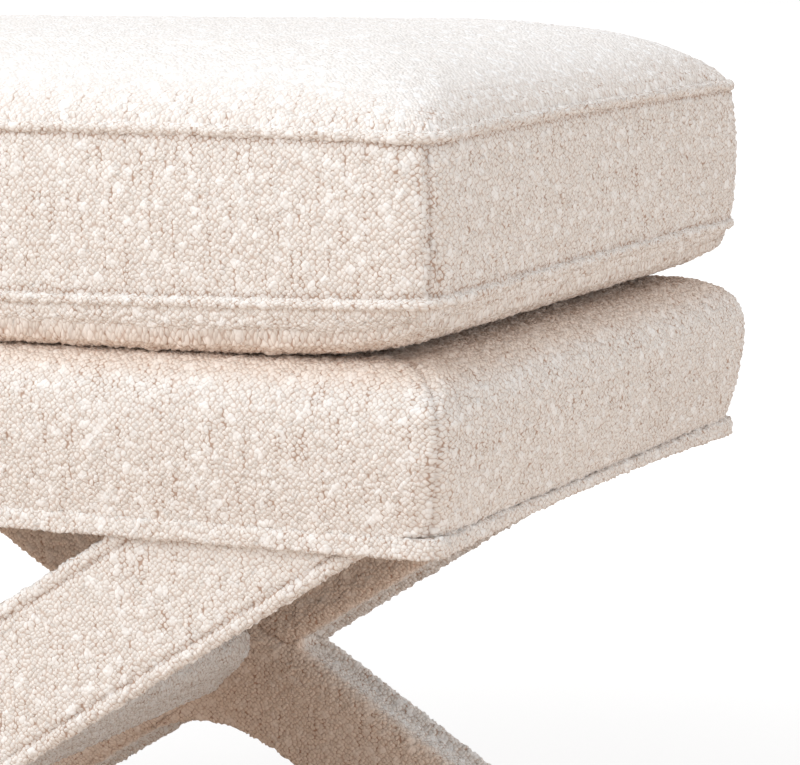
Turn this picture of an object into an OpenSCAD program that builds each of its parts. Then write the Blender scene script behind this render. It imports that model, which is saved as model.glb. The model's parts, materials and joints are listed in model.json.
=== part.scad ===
// Upholstered stool: a loose box cushion on a padded seat box, carried by two X frames and a stretcher.
// The front is towards -Y, and the origin is on the floor under the middle of the stool.

/* [Seat box] */
// Width of the seat box at its hem
seat_w = 644; // [580:2:720]
// Depth of the seat box at its hem
seat_d = 386; // [350:2:430]
// Height of the hem's lower edge above the floor
hem_z = 277; // [255:1:310]
// Height of the stitched hem flange
hem_h = 9.5; // [9:0.5:16]
// How far the hem hangs below the rails
hem_lap = 8; // [6:0.5:9]
// How far the hem stands out from the stitch line
hem_proud = 1; // [0.5:0.5:3]
// Height of the rails
rail_h = 53; // [48:1:80]
// Thickness of the plywood deck
deck_t = 12; // [9:1:18]
// Thickness of the foam pad over the deck
pad_t = 12; // [9:1:20]
// Thickness of the wadding round the rails
wadding_t = 6; // [5.5:0.5:9]
// How far the sides swell out below the shoulder
side_swell = 8; // [5:0.5:12]
// Width of the rounded shoulder, seen from above
shoulder_w = 25; // [22:1:40]
// Height of the rounded shoulder
shoulder_h = 25; // [20:1:34]
// Radius of the seat box's corners, seen from above
box_corner = 10; // [8:1:16]

/* [Boards and fabric] */
// Thickness of the boards in the rails and the legs
board_t = 20; // [18:1:24]
// Thickness of the fabric
cover_t = 3; // [2:0.5:3.5]
// Thickness of the fabric and thin wadding round the legs
leg_skin = 5; // [4:0.5:5.5]

/* [Legs] */
// Slope of the legs from level
leg_angle = 32.2; // [30:0.2:36]
// Height of the legs' crossing above the floor
cross_z = 141; // [132:1:150]
// Width of a covered leg between its edges
leg_w = 62; // [56:1:68]
// How far the outer face's stitched flange stands out past each edge
flange_out = 5.5; // [3:0.5:8]
// Thickness of the outer face's stitched flange
flange_t = 6; // [4:0.5:8]
// Radius of the covered leg's inner edges
leg_edge_r = 8; // [4:1:10]
// Diameter of a foot glide
glide_d = 18; // [14:1:22]
// Height of a foot glide
glide_h = 4; // [3:0.5:6]

/* [Stretcher] */
// Side of the stretcher's square timber
stretcher_side = 40; // [34:1:44]
// Thickness of the stretcher's wadding
stretcher_wad = 5; // [3:0.5:8]
// Radius of the covered stretcher's edges
stretcher_edge_r = 16; // [10:1:20]

/* [Cushion] */
// How far the cushion's seams stand out past the seat box's hem
cushion_over = 3.5; // [0:0.5:5]
// Height of the cushion's boxing between its seams, in the middle of the front
boxing_h = 82; // [70:1:95]
// How far the underside swells below the bottom seam
under_drop = 24; // [16:0.5:32]
// How far the bottom seam rises towards the cushion's ends
end_rise = 6; // [0:0.5:10]
// Height of the crown above the top seam
crown = 37; // [24:1:50]
// How far the front, left and right sides are drawn in between the corners
draw_in = 4; // [0:0.5:8]
// How far the top seam dips at the corners
corner_dip = 2.5; // [0:0.5:5]
// How far the boxing swells out between its seams
boxing_swell = 2.5; // [1:0.5:4]
// Radius of the cushion's corners, seen from above
cushion_corner = 18; // [14:1:30]
// Radius of the welts
welt_r = 2.8; // [2:0.2:3.6]
// Foam block's inset from the boxing
foam_inset = 21; // [18:1:30]
// Foam block's height
foam_h = 92; // [80:1:100]

/* [Zip] */
// Length of the zip in the rear boxing
zip_l = 430; // [300:10:480]
// Width of the zip
zip_w = 12; // [10:1:16]
// Thickness of the zip
zip_t = 1.4; // [1:0.2:1.4]
// Depth of the slot that holds the zip
zip_slot = 2; // [1.5:0.1:2.2]
// Length of the zip's slider
slider_l = 10; // [8:1:14]

/* [Fasteners] */
// Diameter of the bolts that hold the legs to the rails
leg_bolt_d = 6; // [5:1:7]
// Depth of the barrel nuts below the top of the leg
nut_depth = 30; // [26:1:34]
// Diameter of the barrel nuts
nut_d = 10; // [9:0.5:12]
// Distance between a leg's two bolts
leg_bolt_pitch = 24; // [20:1:28]
// Diameter of the stretcher bolts
stretcher_bolt_d = 8; // [6:1:9]
// Distance between a stretcher end's two bolts
stretcher_bolt_pitch = 24; // [20:1:28]
// Diameter of the wood screws
screw_d = 4; // [3:0.5:5]
// Distance between the middle deck screws along the long rails
deck_pitch = 130; // [100:5:135]

/* [Hidden] */

$fn = 48;
fit = 0.1; // radial clearance of screws and bolts
rest_gap = 0.3; // between the cushion and the seat box, and between the slider and the zip
far = 2000; // longer than the stool in any direction

// Colours
cream = [0.93, 0.89, 0.85];
foam_yellow = [0.93, 0.88, 0.66];
wadding_white = [0.96, 0.96, 0.95];
pine = [0.83, 0.68, 0.47];
plywood = [0.78, 0.62, 0.42];
steel = [0.62, 0.63, 0.65];
black = [0.12, 0.12, 0.13];

// Levels
base_z = hem_z + hem_lap;
deck_z = base_z + rail_h;
deck_top = deck_z + deck_t;
seat_top = deck_top + pad_t + cover_t;
stitch_z = hem_z + hem_h;

// Plan of the seat box
rail_x = seat_w / 2 - cover_t - wadding_t;
rail_y = seat_d / 2 - cover_t - wadding_t;
side_x = rail_x - board_t / 2;
leg_y = rail_y - board_t / 2;
leg_t = board_t + 2 * leg_skin;
core_w = leg_w - 2 * leg_skin;
face_w = leg_w + 2 * flange_out;
hem_t = seat_d / 2 + hem_proud - leg_y - leg_t / 2;
inner_y = leg_y - leg_t / 2;
core_y = leg_y - board_t / 2;

// Places along the legs
function leg_x(z) = (z - cross_z) / tan(leg_angle);
function span(w) = w / sin(leg_angle);
leg_top_x = leg_x(base_z);
foot_x = leg_x(glide_h);
bolt_far = leg_top_x - leg_bolt_pitch * 2 / 3;
bolt_xs = [bolt_far, bolt_far - leg_bolt_pitch];
nut_z = base_z - nut_depth;
glide_pitch = 60;
glide_shift = 4;
glide_xs = [for (k = [-0.5, 0.5]) foot_x + glide_shift + k * glide_pitch];
lap_screw_x = 38;
pin_d = 2.5;
pin_l = 10;

// Rounded plan outline of half sizes a and b with corner radius r, counter-clockwise from +X
arc_n = 3;
long_n = 6;
short_n = 4;
function blend(p, q, n) = [for (k = [1 : n - 1]) p + (q - p) * k / n];
function corner(cx, cy, r, turn) = [
    for (k = [0 : arc_n]) [cx + r * cos(turn + 90 * k / arc_n), cy + r * sin(turn + 90 * k / arc_n)]
];
function outline(a, b, r) = concat(
    corner(a - r, b - r, r, 0),
    blend([a - r, b], [r - a, b], long_n),
    corner(r - a, b - r, r, 90),
    blend([-a, b - r], [-a, r - b], short_n),
    corner(r - a, r - b, r, 180),
    blend([r - a, -b], [a - r, -b], long_n),
    corner(a - r, r - b, r, 270),
    blend([a, r - b], [a, b - r], short_n)
);
ring_n = 4 * (arc_n + 1) + 2 * (long_n - 1) + 2 * (short_n - 1);

// Closed solid through a stack of rings of ring_n points, from the lowest to the highest
module stack(rings) {
    last = len(rings) - 1;
    mid = function(ring) [0, 0, ring[0][2]];
    points = concat([mid(rings[0])], [for (ring = rings) for (p = ring) p], [mid(rings[last])]);
    at = function(i, k) 1 + i * ring_n + (k % ring_n);
    top = len(points) - 1;
    faces = concat(
        [for (k = [0 : ring_n - 1]) [0, at(0, k), at(0, k + 1)]],
        [for (i = [0 : last - 1]) for (k = [0 : ring_n - 1]) [at(i, k), at(i + 1, k), at(i + 1, k + 1)]],
        [for (i = [0 : last - 1]) for (k = [0 : ring_n - 1]) [at(i, k), at(i + 1, k + 1), at(i, k + 1)]],
        [for (k = [0 : ring_n - 1]) [top, at(last, k + 1), at(last, k)]]
    );
    polyhedron(points, faces, convexity = 6);
}

// Padded seat box, t inside the fabric's outer face, with its open lower end at height low
side_steps = 4;
shoulder_steps = 5;
function seat_ring(inset, z, t) = let (
        r = max(3, box_corner - t + 0.8 * max(0, inset + side_swell)),
        ring = outline(seat_w / 2 - inset, seat_d / 2 - inset, r)
    ) [for (p = ring) [p[0], p[1], z]];
module seat_form(t, low) {
    swell_z = seat_top - shoulder_h;
    sides = [
        for (k = [0 : side_steps]) let (u = k / side_steps)
            seat_ring(t - side_swell * sin(90 * u), stitch_z + (swell_z - stitch_z) * u, t)
    ];
    shoulder = [
        for (k = [1 : shoulder_steps]) let (turn = 90 * k / shoulder_steps)
            seat_ring(shoulder_w - side_swell - (shoulder_w - t) * cos(turn),
                swell_z + (shoulder_h - t) * sin(turn), t)
    ];
    stack(concat([seat_ring(t, low, t)], low < stitch_z ? sides : [for (k = [1 : side_steps]) sides[k]],
        shoulder));
}

// Cushion, t inside the fabric's outer face. The sides are drawn in, apart from the rear, which the zip stiffens
cushion_z = seat_top + rest_gap;
low_seam = cushion_z + under_drop;
top_seam = low_seam + boxing_h;
half_w = seat_w / 2 + cushion_over;
half_d = seat_d / 2 + cushion_over;
function pulled(p) = let (
        u = p[0] / half_w,
        v = p[1] / half_d
    ) [p[0] - draw_in * pow(u, 3) * max(0, 1 - v * v), p[1] + draw_in * pow(max(0, -v), 3) * max(0, 1 - u * u)];
function dip(p) = corner_dip * pow(abs(p[0] / half_w * p[1] / half_d), 6);
function low_rise(p) = end_rise * pow(abs(p[0] / half_w), 2.5);
// Share of its full height that a panel has at p, e in from the seam. Higher powers keep it full further out.
// The underside drops steeply from its seam. The crown slopes up from it, and is fuller towards the corners
function rise(e, reach) = 1 - pow(1 - min(e, reach) / reach, 2);
function swell(p, along, across) =
    max(0, 1 - pow(abs(p[0]) / half_w, along)) * max(0, 1 - pow(abs(p[1]) / half_d, across));
function drop_share(p, e) = sqrt(swell(p, drop_along, drop_across)) * rise(e, drop_reach);
function crown_share(p, e) = let (near_corner = pow(p[0] / half_w * p[1] / half_d, 2))
    pow(swell(p, crown_along, crown_across), 1 - corner_fullness * near_corner) * rise(e, crown_reach);
drop_along = 7.4;
drop_across = 18;
drop_reach = 3;
crown_along = 11;
crown_across = 7;
crown_reach = 4;
corner_fullness = 0.4;
flat_share = 0.90; // of the underside's swelling, past which it lies flat on the seat box
function cushion_plan(inset) = let (
        r = max(least_corner, cushion_corner + corner_growth * inset),
        half = half_d - inset
    ) [for (p = outline(half_w - inset, half, min(r, corner_share * half))) pulled(p)];
least_corner = 6;
corner_growth = 0.35; // of a ring's inset, so that the corners get rounder further in
corner_share = 0.9; // of a ring's half depth, at most
function under_ring(e, t) = [
    for (p = cushion_plan(e + t)) let (fall = min(1, drop_share(p, e) / flat_share))
        [p[0], p[1], low_seam + low_rise(p) * (1 - fall) - (under_drop - t) * fall]
];
function boxing_ring(u, t) = [
    for (p = cushion_plan(t - boxing_swell * sin(180 * u)))
        [p[0], p[1], (low_seam + low_rise(p)) * (1 - u) + (top_seam - dip(p)) * u]
];
function crown_ring(e, t) = [
    for (p = cushion_plan(e + t)) [p[0], p[1], top_seam - dip(p) + (crown - t) * crown_share(p, e)]
];

// Rings of the underside and the crown at shares of the half depth, and of the boxing at shares of its height
module cushion_form(t, unders, boxings, crowns) {
    stack(concat(
        [for (share = unders) under_ring(share * half_d, t)],
        [for (share = boxings) boxing_ring(share, t)],
        [for (share = crowns) crown_ring(share * half_d, t)]
    ));
}
module cushion_outside() {
    cushion_form(0, [0.46, 0.25, 0.13, 0.056, 0.02, 0], [0.25, 0.5, 0.75],
        [0, 0.02, 0.06, 0.13, 0.25, 0.46, 0.71]);
}
module cushion_inside() {
    cushion_form(cover_t, [0.46, 0.13, 0.04, 0], [0.5], [0, 0.04, 0.15, 0.51]);
}

// Tube of six sides round the cushion, centred on a ring of points
tube_n = 6;
module tube_round(ring, r) {
    n = len(ring);
    at = function(i, k) (i % n) * tube_n + (k % tube_n);
    points = [
        for (i = [0 : n - 1]) let (
                ahead = ring[(i + 1) % n] - ring[(i + n - 1) % n],
                out = [ahead[1], -ahead[0], 0] / norm([ahead[0], ahead[1]])
            ) for (k = [0 : tube_n - 1]) let (turn = 360 * (k + 0.5) / tube_n)
                ring[i] + out * r * cos(turn) + [0, 0, r * sin(turn)]
    ];
    faces = [
        for (i = [0 : n - 1]) for (k = [0 : tube_n - 1])
            each [[at(i, k), at(i, k + 1), at(i + 1, k + 1)], [at(i, k), at(i + 1, k + 1), at(i + 1, k)]]
    ];
    polyhedron(points, faces, convexity = 10);
}

// Rounded rectangle in plan
module rounded_plan(w, d, r) {
    square([w - 2 * r, d], center = true);
    square([w, d - 2 * r], center = true);
    for (x = [r - w / 2, w / 2 - r]) {
        for (y = [r - d / 2, d / 2 - r]) {
            translate([x, y]) circle(r);
        }
    }
}

// Countersunk screw that points down from the origin, with extra room round it where grow is set
module screw(length, grow = 0) {
    head_h = screw_d * 0.6;
    translate([0, 0, -head_h]) cylinder(h = head_h, d1 = screw_d + 2 * grow, d2 = 2 * screw_d + 2 * grow);
    translate([0, 0, -length - grow]) cylinder(h = length + grow, d = screw_d + 2 * grow);
}

// Round-headed bolt that points down from the underside of its head
module bolt(d, length, grow = 0) {
    translate([0, 0, -length - grow]) cylinder(h = length + grow, d = d + 2 * grow);
    cylinder(h = d * bolt_head_h + grow, d = d * bolt_head_d + 2 * grow);
}
bolt_head_h = 0.65;
bolt_head_d = 1.7;

// Places of the deck screws: along the long rails, the last ones halfway between the leg bolts and the rails' ends,
// and along the side rails
deck_screw_l = 34;
deck_end = (bolt_far + rail_x) / 2;
deck_spots = concat(
    [for (x = [-deck_end, -deck_pitch, 0, deck_pitch, deck_end]) for (y = [-1, 1]) [x, y * leg_y]],
    [for (x = [-1, 1]) for (y = [-1, 1]) [x * side_x, y * seat_d / 6]]
);
module at_deck_spots() {
    for (p = deck_spots) {
        translate([p[0], p[1], deck_top]) children();
    }
}

// Places of the screws that hold the long rails to the side rails
rail_screw_l = 50;
module at_rail_corners() {
    for (x = [-1, 1]) {
        for (turn = [0, 180]) {
            for (h = [0.25, 0.75]) {
                rotate([0, 0, turn]) translate([x * side_x, -rail_y, base_z + h * rail_h]) rotate([90, 0, 0]) children();
            }
        }
    }
}

// Places of the leg bolts, whose heads sink into the rails' upper edges
leg_bolt_seat = deck_z - leg_bolt_d * bolt_head_h - 1;
leg_bolt_l = leg_bolt_seat - nut_z + 6;
module at_leg_bolts() {
    for (turn = [0, 180]) {
        for (side = [-1, 1]) {
            for (x = bolt_xs) {
                rotate([0, 0, turn]) translate([side * x, -leg_y, leg_bolt_seat]) children();
            }
        }
    }
}

// Places of the foot glides
module at_glides() {
    for (turn = [0, 180]) {
        for (side = [-1, 1]) {
            for (x = glide_xs) {
                rotate([0, 0, turn]) translate([side * x, -leg_y, 0]) children();
            }
        }
    }
}

// Places on the crossings, for pieces that point into the stool from the legs' faces
module at_crossings(y, points) {
    for (turn = [0, 180]) {
        for (p = points) {
            rotate([0, 0, turn]) translate([p[0], -y, cross_z + p[1]]) rotate([90, 0, 0]) children();
        }
    }
}
stretcher_spots = [for (k = [-0.5, 0.5]) [0, k * stretcher_bolt_pitch]];
lap_spots = [for (k = [-1, 1]) [k * lap_screw_x, 0]];
stretcher_bolt_seat = leg_y + board_t / 2 - stretcher_bolt_d * bolt_head_h - 0.5;
stretcher_bolt_l = 78;
lap_screw_l = board_t - 2;

module leg_bolt_room() {
    bolt(leg_bolt_d, leg_bolt_l, fit);
    cylinder(h = far, d = leg_bolt_d * bolt_head_d + 2 * fit);
}
module stretcher_bolt_room() {
    bolt(stretcher_bolt_d, stretcher_bolt_l, fit);
    cylinder(h = board_t, d = stretcher_bolt_d * bolt_head_d + 2 * fit);
}

// Rails
module long_rail() {
    color(pine) difference() {
        translate([-rail_x, -rail_y, base_z]) cube([2 * rail_x, board_t, rail_h]);
        at_deck_spots() screw(deck_screw_l, fit);
        at_rail_corners() screw(rail_screw_l, fit);
        at_leg_bolts() leg_bolt_room();
    }
}
module side_rail() {
    color(pine) difference() {
        translate([rail_x - board_t, board_t - rail_y, base_z]) cube([board_t, 2 * (rail_y - board_t), rail_h]);
        at_deck_spots() screw(deck_screw_l, fit);
        at_rail_corners() screw(rail_screw_l, fit);
    }
}
module front_rail() {
    long_rail();
}
module rear_rail() {
    rotate([0, 0, 180]) long_rail();
}
module right_rail() {
    side_rail();
}
module left_rail() {
    rotate([0, 0, 180]) side_rail();
}
cross_rail_h = 44;
module cross_rail() {
    color(pine) translate([-board_t / 2, board_t - rail_y, deck_z - cross_rail_h])
        cube([board_t, 2 * (rail_y - board_t), cross_rail_h]);
}
block_side = 45;
block_h = 50;
module corner_blocks() {
    color(pine) for (x = [-1, 1]) {
        for (y = [-1, 1]) {
            translate([x * (rail_x - board_t), y * (rail_y - board_t), deck_z - block_h]) linear_extrude(block_h)
                polygon([[0, 0], [-x * block_side, 0], [0, -y * block_side]]);
        }
    }
}
module seat_deck() {
    color(plywood) difference() {
        translate([-rail_x, -rail_y, deck_z]) cube([2 * rail_x, 2 * rail_y, deck_t]);
        at_deck_spots() screw(deck_screw_l, fit);
    }
}
module rail_screws() {
    color(steel) at_rail_corners() screw(rail_screw_l);
}
module deck_screws() {
    color(steel) at_deck_spots() screw(deck_screw_l);
}

// Padding and cover of the seat box
module seat_pad() {
    color(foam_yellow) difference() {
        seat_form(cover_t, stitch_z);
        translate([-far / 2, -far / 2, deck_z - far]) cube(far);
        translate([-rail_x, -rail_y, deck_z - 1]) cube([2 * rail_x, 2 * rail_y, deck_t + 1]);
    }
}
module side_wadding() {
    color(wadding_white) difference() {
        seat_form(cover_t, stitch_z);
        translate([-far / 2, -far / 2, deck_z]) cube(far);
        translate([-rail_x, -rail_y, base_z]) cube([2 * rail_x, 2 * rail_y, far]);
    }
}
module seat_cover() {
    color(cream) difference() {
        seat_form(0, stitch_z);
        seat_form(cover_t, stitch_z - 1);
    }
}
module seat_hem() {
    out_w = seat_w + 2 * hem_proud;
    out_d = seat_d + 2 * hem_proud;
    color(cream) translate([0, 0, hem_z]) linear_extrude(hem_h) difference() {
        rounded_plan(out_w, out_d, box_corner);
        rounded_plan(out_w - 2 * hem_t, out_d - 2 * hem_t, box_corner / 2);
    }
}
dust_t = 1;
dust_gap = 3;
module dust_cover() {
    notch = span(face_w) + 2 * dust_gap;
    color(black) translate([0, 0, base_z - dust_t]) linear_extrude(dust_t) difference() {
        square([2 * (rail_x - dust_gap), 2 * (rail_y - dust_gap)], center = true);
        for (x = [-1, 1]) {
            for (y = [-1, 1]) {
                translate([x * leg_top_x, y * (inner_y - dust_gap + far / 2)]) square([notch, far], center = true);
            }
        }
    }
}

// A leg's frame of reference at the front crossing: +X runs up the leg. slope is 1 for a left foot, -1 for a right
module along_leg(slope) {
    translate([0, -leg_y, cross_z]) rotate([0, -slope * leg_angle, 0]) children();
}
module between(low, high) {
    intersection() {
        children();
        translate([-far / 2, -far / 2, low]) cube([far, far, high - low]);
    }
}
module leg_board(slope) {
    along_leg(slope) cube([far, board_t, core_w], center = true);
}
core_foot = glide_h + cover_t;
module leg_core(slope) {
    color(pine) difference() {
        between(core_foot, base_z) leg_board(slope);
        intersection() {
            leg_board(-slope);
            translate([-far / 2, slope > 0 ? -leg_y : -leg_y - far, 0]) cube(far);
        }
        at_leg_bolts() bolt(leg_bolt_d, leg_bolt_l, fit);
        at_barrel_nuts() cylinder(h = board_t / 2 + nut_l / 2 + fit, d = nut_d + 2 * fit);
        at_crossings(stretcher_bolt_seat, stretcher_spots) stretcher_bolt_room();
        at_crossings(core_y, lap_spots) mirror([0, 0, 1]) screw(lap_screw_l, fit);
        at_glides() pin_room();
    }
}
module pin_room() {
    cylinder(h = glide_h + pin_l + fit, d = pin_d + 2 * fit);
}

// Section of a covered leg: the flanged outer face is towards -X and the rounded edges are towards +X
module leg_section() {
    translate([-leg_t / 2, -face_w / 2]) square([flange_t, face_w]);
    translate([-leg_t / 2, -leg_w / 2]) square([leg_t - leg_edge_r, leg_w]);
    translate([-leg_t / 2, leg_edge_r - leg_w / 2]) square([leg_t, leg_w - 2 * leg_edge_r]);
    for (z = [leg_edge_r - leg_w / 2, leg_w / 2 - leg_edge_r]) {
        translate([leg_t / 2 - leg_edge_r, z]) circle(leg_edge_r);
    }
}
module leg_outside(slope) {
    along_leg(slope) rotate([90, 0, 90]) linear_extrude(far, center = true) leg_section();
}
module leg_cores_room() {
    for (slope = [-1, 1]) {
        between(core_foot, far) leg_board(slope);
    }
    stretcher_bar(stretcher_side, 0, core_y);
    at_glides() pin_room();
}
module long_cover() {
    color(cream) difference() {
        between(glide_h, base_z) leg_outside(1);
        leg_cores_room();
    }
}
module short_cover(low, high) {
    color(cream) difference() {
        between(low, high) leg_outside(-1);
        leg_outside(1);
        leg_cores_room();
    }
}
module front_leg_left() {
    leg_core(1);
}
module front_leg_right() {
    leg_core(-1);
}
module rear_leg_right() {
    rotate([0, 0, 180]) leg_core(1);
}
module rear_leg_left() {
    rotate([0, 0, 180]) leg_core(-1);
}
module front_long_cover() {
    long_cover();
}
module front_upper_cover() {
    short_cover(cross_z, base_z);
}
module front_lower_cover() {
    short_cover(glide_h, cross_z);
}
module rear_long_cover() {
    rotate([0, 0, 180]) long_cover();
}
module rear_upper_cover() {
    rotate([0, 0, 180]) short_cover(cross_z, base_z);
}
module rear_lower_cover() {
    rotate([0, 0, 180]) short_cover(glide_h, cross_z);
}

// Fasteners and feet of the X frames
nut_l = 16;
module at_barrel_nuts() {
    for (turn = [0, 180]) {
        for (side = [-1, 1]) {
            for (x = bolt_xs) {
                rotate([0, 0, turn]) translate([side * x, nut_l / 2 - leg_y, nut_z]) rotate([90, 0, 0]) children();
            }
        }
    }
}
module lap_screws() {
    color(steel) at_crossings(core_y, lap_spots) mirror([0, 0, 1]) screw(lap_screw_l);
}
module leg_bolts() {
    color(steel) at_leg_bolts() bolt(leg_bolt_d, leg_bolt_l);
}
module barrel_nuts() {
    color(steel) difference() {
        at_barrel_nuts() cylinder(h = nut_l, d = nut_d);
        at_leg_bolts() bolt(leg_bolt_d, leg_bolt_l, fit);
    }
}
glide_round = 1.2;
module foot_glides() {
    color(black) at_glides() {
        cylinder(h = glide_round, d1 = glide_d - 2 * glide_round, d2 = glide_d);
        translate([0, 0, glide_round]) cylinder(h = glide_h - glide_round, d = glide_d);
        cylinder(h = glide_h + pin_l, d = pin_d);
    }
}

// Stretcher, a square bar on edge between the crossings, ending reach from the middle
module stretcher_bar(side, r, reach) {
    translate([0, 0, cross_z]) rotate([90, 0, 0]) rotate([0, 0, 45]) linear_extrude(2 * reach, center = true) {
        if (r > 0) {
            rounded_plan(side, side, r);
        } else {
            square(side, center = true);
        }
    }
}
wad_side = stretcher_side + 2 * stretcher_wad;
stretcher_out = wad_side + 2 * cover_t;
module stretcher_core() {
    color(pine) difference() {
        stretcher_bar(stretcher_side, 0, core_y);
        at_crossings(stretcher_bolt_seat, stretcher_spots) stretcher_bolt_room();
    }
}
module stretcher_wadding() {
    color(wadding_white) difference() {
        stretcher_bar(wad_side, stretcher_edge_r - cover_t, inner_y);
        stretcher_bar(stretcher_side, 0, core_y);
    }
}
module stretcher_cover() {
    color(cream) difference() {
        stretcher_bar(stretcher_out, stretcher_edge_r, inner_y);
        stretcher_bar(wad_side, stretcher_edge_r - cover_t, core_y);
    }
}
module stretcher_bolts() {
    color(steel) at_crossings(stretcher_bolt_seat, stretcher_spots) bolt(stretcher_bolt_d, stretcher_bolt_l);
}

// Cushion
foam_drop = 8; // below the bottom seam
foam_z = low_seam - foam_drop;
module foam_block() {
    translate([foam_inset - half_w, foam_inset - half_d, foam_z])
        cube([2 * (half_w - foam_inset), 2 * (half_d - foam_inset), foam_h]);
}
slot_y = half_d + boxing_swell - zip_slot;
zip_z = low_seam + boxing_h / 2;
module zip_bar(t) {
    translate([-zip_l / 2, slot_y, zip_z - zip_w / 2]) cube([zip_l, t, zip_w]);
}
module top_welt_tube() {
    tube_round(crown_ring(0, 0), welt_r);
}
module bottom_welt_tube() {
    tube_round(under_ring(0, 0), welt_r);
}
module cushion_cover() {
    color(cream) difference() {
        cushion_outside();
        cushion_inside();
        top_welt_tube();
        bottom_welt_tube();
        zip_bar(2 * zip_slot);
    }
}
module cushion_wrap() {
    color(wadding_white) difference() {
        cushion_inside();
        foam_block();
        top_welt_tube();
        bottom_welt_tube();
    }
}
module cushion_foam() {
    color(foam_yellow) foam_block();
}
module cushion_top_welt() {
    color(cream) top_welt_tube();
}
module cushion_bottom_welt() {
    color(cream) bottom_welt_tube();
}
module zip_tape() {
    color(cream) zip_bar(zip_t);
}
slider_t = 2;
slider_w = 9;
slider_end = 5; // from the end of the zip
module zip_slider() {
    color(steel) translate([zip_l / 2 - slider_l - slider_end, slot_y + zip_t + rest_gap, zip_z - slider_w / 2])
        cube([slider_l, slider_t, slider_w]);
}

front_rail();
rear_rail();
left_rail();
right_rail();
cross_rail();
corner_blocks();
seat_deck();
rail_screws();
deck_screws();
seat_pad();
side_wadding();
seat_cover();
seat_hem();
dust_cover();
front_leg_left();
front_leg_right();
rear_leg_left();
rear_leg_right();
front_long_cover();
front_upper_cover();
front_lower_cover();
rear_long_cover();
rear_upper_cover();
rear_lower_cover();
lap_screws();
leg_bolts();
barrel_nuts();
foot_glides();
stretcher_core();
stretcher_wadding();
stretcher_cover();
stretcher_bolts();
cushion_cover();
cushion_wrap();
cushion_foam();
cushion_top_welt();
cushion_bottom_welt();
zip_tape();
zip_slider();
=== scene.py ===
"""Dresses the upholstered stool's fixed frame in boucle and sets it in a plain studio."""

import json
import math
from contextlib import contextmanager

import bmesh
import bpy
import numpy as np
from bpy.props import FloatProperty, FloatVectorProperty, PointerProperty
from mathutils import Matrix, Vector


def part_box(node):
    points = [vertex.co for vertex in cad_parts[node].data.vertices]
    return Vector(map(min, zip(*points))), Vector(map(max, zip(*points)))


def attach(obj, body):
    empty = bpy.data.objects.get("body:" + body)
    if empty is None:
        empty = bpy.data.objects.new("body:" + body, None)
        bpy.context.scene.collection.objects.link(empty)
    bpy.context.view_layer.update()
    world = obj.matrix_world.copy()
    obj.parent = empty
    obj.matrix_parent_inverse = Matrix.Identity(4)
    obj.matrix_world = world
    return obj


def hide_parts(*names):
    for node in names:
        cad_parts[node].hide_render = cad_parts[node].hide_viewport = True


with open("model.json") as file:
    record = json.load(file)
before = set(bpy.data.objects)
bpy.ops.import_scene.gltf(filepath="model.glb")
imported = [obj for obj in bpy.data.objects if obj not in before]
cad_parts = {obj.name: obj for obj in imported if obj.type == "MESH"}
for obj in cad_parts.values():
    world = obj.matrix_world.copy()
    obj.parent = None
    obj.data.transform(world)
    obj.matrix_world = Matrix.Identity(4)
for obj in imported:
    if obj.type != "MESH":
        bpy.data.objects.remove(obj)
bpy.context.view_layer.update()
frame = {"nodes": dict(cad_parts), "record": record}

bl_info = {
    "name": "Upholstered Stool",
    "version": (1, 0, 0),
    "blender": (4, 5, 0),
    "location": "View3D > Sidebar > Stool",
    "description": "Covers the stool's frame in boucle, piece by piece, and sets it in a studio",
    "category": "Object",
}

MM = 0.001

# Seat box and cushion, from the frame
BOX_LOW, BOX_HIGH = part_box("seat_cover")
HEM_LOW, HEM_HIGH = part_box("seat_hem")
CUSHION_LOW, CUSHION_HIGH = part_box("cushion_cover")
WELT_R = 2.8 * MM
TOP_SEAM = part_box("cushion_top_welt")[1].z - WELT_R
LOW_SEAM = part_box("cushion_bottom_welt")[0].z + WELT_R
BOXING_SWELL = 2.5 * MM
HALF_W = CUSHION_HIGH.x - BOXING_SWELL + 0.6 * MM
HALF_D = CUSHION_HIGH.y - BOXING_SWELL
CUSHION_CORNER = 18 * MM
DRAW_IN = 4 * MM
END_RISE = 6 * MM
CORNER_DIP = 2.5 * MM
CROWN = CUSHION_HIGH.z - TOP_SEAM
UNDER_DROP = LOW_SEAM - CUSHION_LOW.z
TOP_REACH = 4 * MM  # from its seam to where the top panel is full
UNDER_REACH = 3 * MM
LOW_INSET = 0.4 * MM
FLAT_SHARE = 0.90
STEEP_W = 25 * MM  # of the underside's steep rim
PANEL_GIVE = 0.8 * MM  # how far the stuffed panels may leave their drawn heights
WELT_LINE = 3.6 * MM  # from a welt's middle to its seam on the boxing
WELT_SINK = 0.8 * MM  # how far a welt's middle lies inside its seam
SEAM_W, CORNER_SEAM_W = 1.5 * MM, 1.6 * MM
CUSHION_GROOVE = 1.3 * MM  # depth of the cushion's corner seams
WELT_GROOVE = 0.2 * MM
BOX_GROOVE = 1.1 * MM
HEM_W = 5 * MM
HEM_LIFT = 4.5 * MM  # of the hem's lower edge at the middle of each end
RING_POINTS = 160
SIM_FRAMES = 20

# Fabric
PANEL_SHIFT = 1.37  # between the cloth coordinates of neighbouring panels
DARK_KNOT = (0.93, 0.90, 0.87)  # of the knots' colour
PAINTED_TOP_LIGHT_TINT = (1.0, 1.015, 1.04)  # painted light from above makes the top panel a little whiter
HOLLOW_TINT = (0.96, 0.81, 0.70)  # light that has bounced between cream fabrics is warmer
TOP_PAINTED_LIGHT = 0.75  # how far painted light from above fills in the gaps between the top panel's knots; it also lowers the knots
CONTACT_SHADE = 0.65  # of the fabric where the cushion lies on the seat box
LEG_SHADE = 0.95  # of the legs' inner faces
BOX_SEAM_SHADE = 0.6  # of the seat box's corner seams, next to the cushion's

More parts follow.
